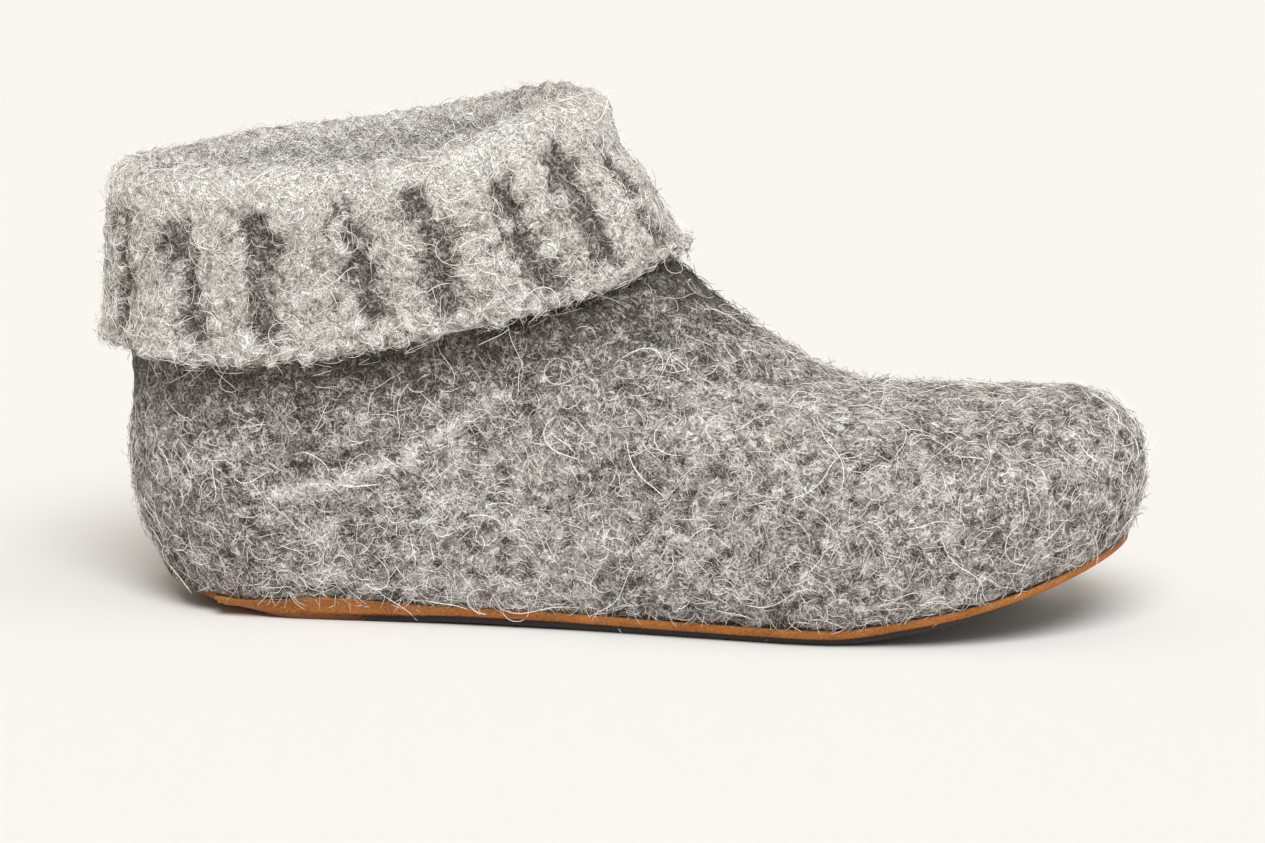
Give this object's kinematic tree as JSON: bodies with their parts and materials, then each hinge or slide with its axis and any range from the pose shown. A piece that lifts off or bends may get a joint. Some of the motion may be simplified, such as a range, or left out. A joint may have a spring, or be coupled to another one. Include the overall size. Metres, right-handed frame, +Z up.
{
  "type": "slipper boot",
  "caption": "Low slipper boot of felted wool knit with a turned-down ribbed cuff, an open ankle and a thin suede sole.",
  "frame": {"origin": "middle of the outsole's flat spot under the heel, on the floor", "axes": "+X towards the toe, +Y towards the inner (big toe) side, +Z up"},
  "size_m": [0.2779, 0.1008, 0.1381],
  "materials": {
    "felted_wool": "felted melange knit",
    "rib_wool": "soft rib knit",
    "suede": "suede nap",
    "insole_felt": "pressed felt"
  },
  "bodies": {
    "root": {"upper": "felted_wool", "cuff": "rib_wool", "outsole": "suede", "insole": "insole_felt"}
  },
  "joints": []
}
